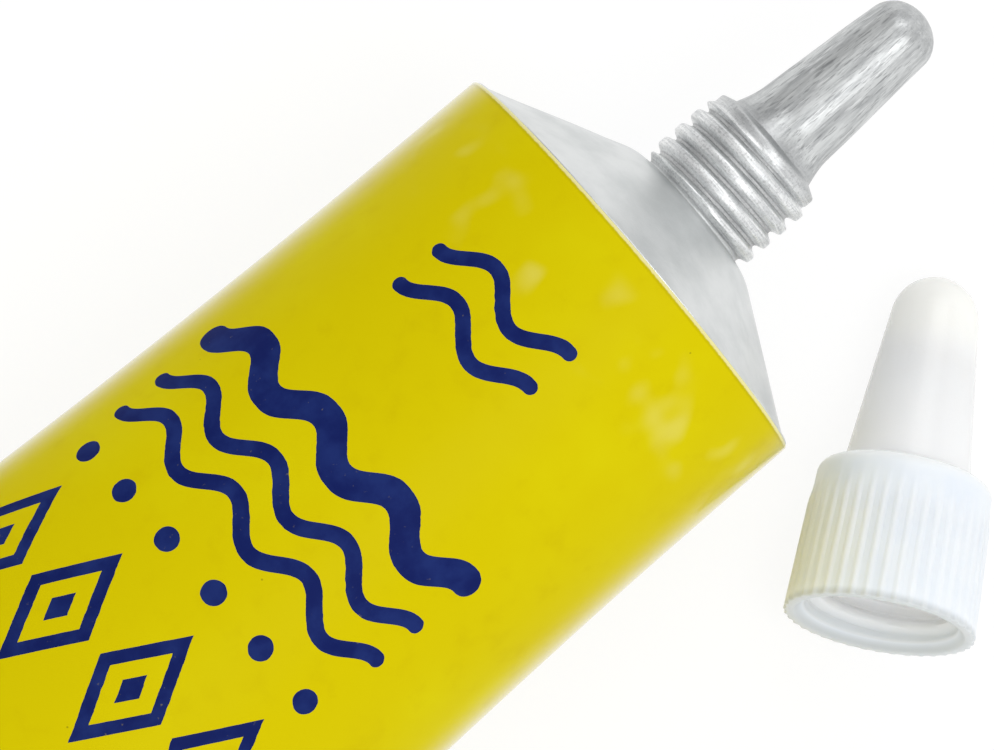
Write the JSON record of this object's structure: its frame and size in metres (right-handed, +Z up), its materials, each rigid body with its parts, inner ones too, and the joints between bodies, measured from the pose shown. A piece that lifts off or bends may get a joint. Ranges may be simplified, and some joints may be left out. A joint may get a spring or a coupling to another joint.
{
  "type": "glue tube",
  "caption": "Collapsible metal glue tube with a sloping shoulder, threaded neck and sealed tapered nozzle, lying flat with its ribbed screw cap off beside it.",
  "frame": {"origin": "under the middle of the folded tail, on the surface that the tube lies on", "axes": "+X along the tube from its folded tail towards its nozzle, +Z up from the surface it lies on"},
  "size_m": [0.139, 0.0417, 0.0225],
  "materials": {
    "yellow_enamel": "glossy yellow enamel on soft aluminium",
    "bare_metal": "bare satin aluminium with fine scratches",
    "cap_plastic": "natural translucent white polyethylene",
    "seal_latex": "dried latex sealing band",
    "glue": "clear, faintly amber solvent glue"
  },
  "bodies": {
    "tube": {"tube_sleeve": "yellow_enamel", "nozzle_head": "bare_metal", "tail_fold": "yellow_enamel", "tail_seal": "seal_latex", "glue_fill": "glue"},
    "cap": {"screw_cap": "cap_plastic"}
  },
  "joints": [
    {"name": "cap_lift", "type": "slide", "parent": "tube", "child": "cap", "axis": [0, 0, 1], "range_m": [0, 0.04]}
  ]
}
